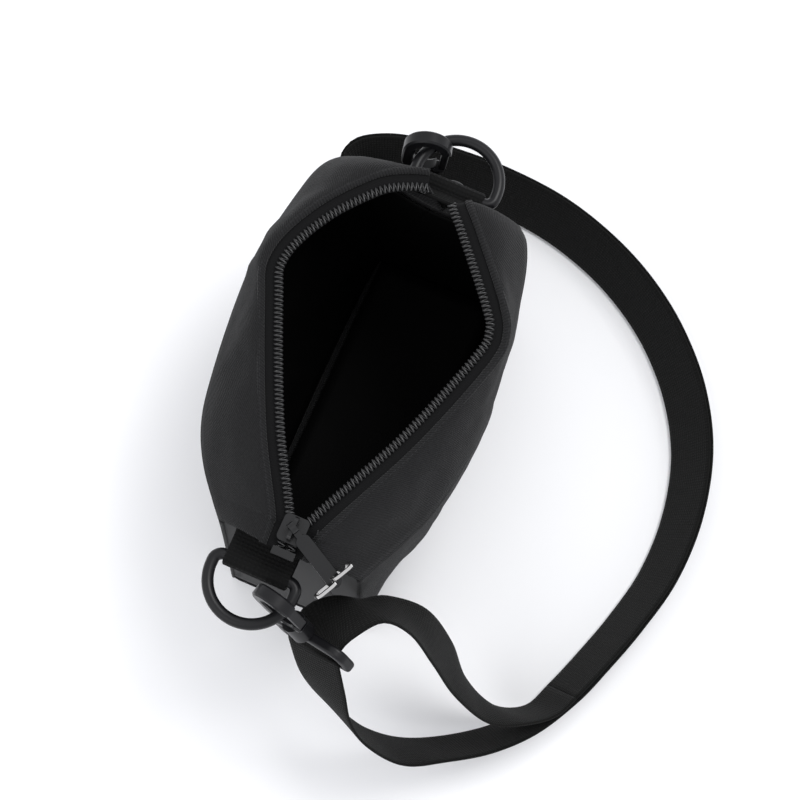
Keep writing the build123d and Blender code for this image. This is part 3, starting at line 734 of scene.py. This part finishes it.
OUTER_END = (
    ((-114.0, -143.0, 19.8), (-0.20, -0.36, 0.91)),
    ((-133.0, -124.0, 23.5), (-0.30, -0.28, 0.91)),
    ((-149.0, -99.5, 34.0), (-0.33, -0.15, 0.93)),
    ((-157.0, -79.0, 50.0), (-0.30, -0.10, 0.95)),
    ((-155.5, -60.0, 70.0), (-0.20, -0.12, 0.97)),
    ((-150.8, -47.7, 83.0), (-0.21, -0.58, 0.78)),
    ((-142.0, -38.0, 95.0), (-0.14, -0.76, 0.62)),
)
INNER_END = (
    ((-104.0, -148.0, 21.5), (-0.13, -0.34, 0.92)),
    ((-113.0, -134.0, 30.0), (-0.20, -0.10, 0.97)),
    ((-115.0, -114.0, 47.0), (-0.30, 0.03, 0.95)),
    ((-107.0, -96.0, 70.0), (-0.44, 0.04, 0.90)),
    ((-99.0, -79.0, 92.0), (-0.51, 0.00, 0.86)),
    ((-97.0, -61.0, 108.0), (-0.41, -0.18, 0.89)),
    ((-101.0, -48.0, 115.0), (-0.27, -0.41, 0.87)),
    ((-109.0, -38.5, 116.0), (-0.25, -0.60, 0.76)),
)


def beside(stations, offset):
    """Stations moved sideways; positive is the outside of the strap's loop."""
    points = np.array([s[0] for s in stations], float)
    edges = np.array([s[1] for s in stations], float)
    outward = unit(np.cross(edges, np.gradient(points, axis=0)))
    return [(p + o * offset, e) for p, o, e in zip(points, outward, edges)]


bar_half, slot_far = 2.5, 9.5          # adjuster's middle bar, and the far side of its slots
crossing = 3.1                         # webbing's middle above or below a bar that it crosses
layer_step = 1.8                       # from one layer to the next
round_bar = 3.6                        # webbing's middle beside the bar that it turns round
sewn_end = [
    at_adjuster(slot_far + 12, -crossing - layer_step),
    at_adjuster(slot_far + 0.5, -crossing - layer_step),
    at_adjuster(round_bar + 2.4, -crossing - 1.3),
    at_adjuster(round_bar + 0.2, -1.2),
    at_adjuster(round_bar + 0.2, 0.9),
    at_adjuster(bar_half + 0.6, crossing - 0.5),
    at_adjuster(bar_half - 1.2, crossing),
    at_adjuster(-bar_half + 1.2, crossing),
    at_adjuster(-bar_half - 0.7, crossing - 0.5),
    at_adjuster(-round_bar - 0.4, 0.9),
    at_adjuster(-round_bar - 0.4, -0.9),
    at_adjuster(-bar_half - 0.7, -crossing + 0.5),
    at_adjuster(-bar_half + 1.2, -crossing),
    at_adjuster(bar_half - 1.0, -crossing - 0.3),
    at_adjuster(bar_half + 2.5, -crossing - 3.2),
    at_adjuster(bar_half + 6.5, -crossing - 2 * layer_step - 0.2),
    at_adjuster(slot_far + 13, -crossing - 2 * layer_step),
]
through_adjuster = [
    at_adjuster(slot_far + 14, -crossing),
    at_adjuster(slot_far + 0.5, -crossing),
    at_adjuster(slot_far - 1.9, -crossing + 1.3),
    at_adjuster(bar_half + 3.9, 1.2),
    at_adjuster(bar_half + 2.0, crossing + layer_step - 0.7),
    at_adjuster(bar_half, crossing + layer_step),
    at_adjuster(-bar_half, crossing + layer_step),
    at_adjuster(-bar_half - 2.2, crossing + layer_step - 0.7),
    at_adjuster(-bar_half - 3.9, 1.2),
    at_adjuster(-slot_far + 1.9, -crossing + 1.3),
    at_adjuster(-slot_far - 0.5, -crossing),
    at_adjuster(-slot_far - 5.0, -crossing),
]
near_origin, near_x, near_y, near_z = near_axes
far_origin, far_x, far_y, far_z = far_axes
near_pass = [(near_origin + near_y * 6.5 - near_z * 6.0, near_x)]
near_pass += [on_bar(near_axes, near_x, turn) for turn in (62, 50, 39)]
far_pass = [on_bar(far_axes, -far_x, turn) for turn in (180, 150, 120, 90, 60, 30, 0)]
tail = [
    (far_origin + far_z * wrap_radius * 0.75 - far_y * 5, -far_x),
    (far_origin + far_z * 1.2 - far_y * 12, -far_x),
]
inner_layer = beside(DOUBLED, -strap_gap)
outer_layer = list(reversed(beside(DOUBLED, strap_gap)))
near_part = list(INNER_END) + near_pass + list(reversed(OUTER_END))
course = ribbon_course(
    sewn_end + inner_layer + near_part + outer_layer + through_adjuster + far_pass + tail
)
middles = course[:, 0]


def cut_at(place, after=0):
    """Index of the course's point nearest to a place, from a given index on."""
    return after + int(np.argmin(np.linalg.norm(middles[after:] - np.array(place), axis=1)))


apart = 20                             # points that a later cut lies beyond an earlier one
start_of_near = cut_at(inner_layer[-1][0])
end_of_near = cut_at(outer_layer[0][0], start_of_near + apart)
start_of_far = cut_at(outer_layer[-1][0], end_of_near + apart)
for name, first, last, across in (
    ("strap_inner_layer", 0, start_of_near, None),
    ("strap_near_end", start_of_near, end_of_near, "near"),
    ("strap_outer_layer", end_of_near, start_of_far, None),
    ("strap_far_end", start_of_far, len(course) - 1, "far"),
):
    piece, run = ribbon(name, course[first : last + 1], strap_cloth)
    if name == "strap_inner_layer":
        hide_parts("strap_webbing")
    if across == "near":
        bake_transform(piece)
    elif across == "far":
        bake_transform(piece)
    else:
        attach(piece, "bag")

# ------------------------------------------------------------------ tabs round the D-rings' bars
tab_width, tab_thickness = 34.0, 1.5
tab_radius = 4.25                      # webbing's middle round a D-ring's bar
rod_radius = 3.0
for end, word, climb in ((-1, "near", 9.0), (1, "far", 11.0)):
    low, high = (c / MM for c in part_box(f"{word}_tab"))
    ring_low, ring_high = (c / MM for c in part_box(f"{word}_d_ring"))
    middle_y = (low.y + high.y) / 2
    middle_z = (ring_low.z + ring_high.z) / 2
    bar_x = (ring_high.x if end < 0 else ring_low.x) + end * rod_radius
    face_x = high.x if end < 0 else low.x
    reach = abs(face_x - bar_x)
    # towards the bag and up, from the bar: sewn under the gable, round the bar, back to the end
    turns = np.radians([72, 110, 150, 190, 230, 270])
    path = [(reach + 4.5, climb), (reach + 1.0, climb * 0.62), (max(reach * 0.6, 4.4), 3.4)]
    path += [(tab_radius * math.cos(t), tab_radius * math.sin(t)) for t in turns]
    path += [(max(reach * 0.35, 2.6), -3.9), (reach, -3.6)]
    stations = [((bar_x - end * d, middle_y, middle_z + h), (0, 1, 0)) for d, h in path]
    tab_course = ribbon_course(stations, 1.2)
    piece, run = ribbon(f"{word}_tab_webbing", tab_course, rib_cloth, tab_width, tab_thickness)
    finish_piece(piece, [f"{word}_tab"])

# ------------------------------------------------------------------ materials of the hard pieces
hook_parts = [f"{end}_hook_{part}" for end in ("near", "far") for part in ("loop", "body", "gate")]
for material, names in (
    (moulded, ["near_d_ring", "far_d_ring", *hook_parts, "strap_adjuster"]),
    (black_metal, ["zip_slider", "zip_puller", "zip_stops"]),
    (nickel, ["puller_rings"]),
    (board, ["base_stiffener"]),
):
    for name in names:
        mesh = frame["nodes"][name].data
        mesh.materials.clear()
        mesh.materials.append(material)

# ------------------------------------------------------------------ floor, light and camera
floor_material = nodes_for("floor_paper", (0.93, 0.93, 0.94), 0.9)[0]
floor_half = 4000
floor_corners = [(i * floor_half, j * floor_half, 0) for i, j in corners[:4]]
floor = build("floor", floor_corners, [(0, 1, 2, 3)], None, floor_material)

azimuth, elevation = math.radians(-66.45), math.radians(77.0)
distance = 1.0822                      # metres
target = Vector((0.01547, -0.0125, 0.060))
level = math.cos(elevation)
back = Vector((math.sin(azimuth) * level, -math.cos(azimuth) * level, math.sin(elevation)))
right = Vector((0, 0, 1)).cross(back).normalized()
up = back.cross(right)
camera_data = bpy.data.cameras.new("camera")
camera_data.lens = 90
camera_data.sensor_width = 36
camera_data.clip_start = 0.05
camera = bpy.data.objects.new("camera", camera_data)
bpy.context.collection.objects.link(camera)
camera.location = target + back * distance
camera.rotation_mode = "QUATERNION"
camera.rotation_quaternion = back.to_track_quat("Z", "Y")
bpy.context.scene.camera = camera


def area_light(name, place, size, power):
    """Soft square light that faces the bag; its place and size are in metres."""
    data = bpy.data.lights.new(name, "AREA")
    data.size = size
    data.energy = power
    light = bpy.data.objects.new(name, data)
    bpy.context.collection.objects.link(light)
    light.location = place
    light.rotation_mode = "QUATERNION"
    light.rotation_quaternion = (Vector(place) - Vector((0, 0, 0.08))).to_track_quat("Z", "Y")


key_side = right * 0.75 + up * 0.45
area_light("key", tuple(Vector((0, 0, 1.5)) + key_side), 0.8, 15)
area_light("fill", tuple(Vector((0, 0, 1.3)) - key_side * 1.3), 1.6, 7)
world = bpy.data.worlds.new("world")
world.use_nodes = True
sky = world.node_tree.nodes["Background"]
sky.inputs["Color"].default_value = (0.96, 0.97, 1.0, 1)
sky.inputs["Strength"].default_value = 0.95
bpy.context.scene.world = world
bpy.context.scene.view_settings.view_transform = "Standard"
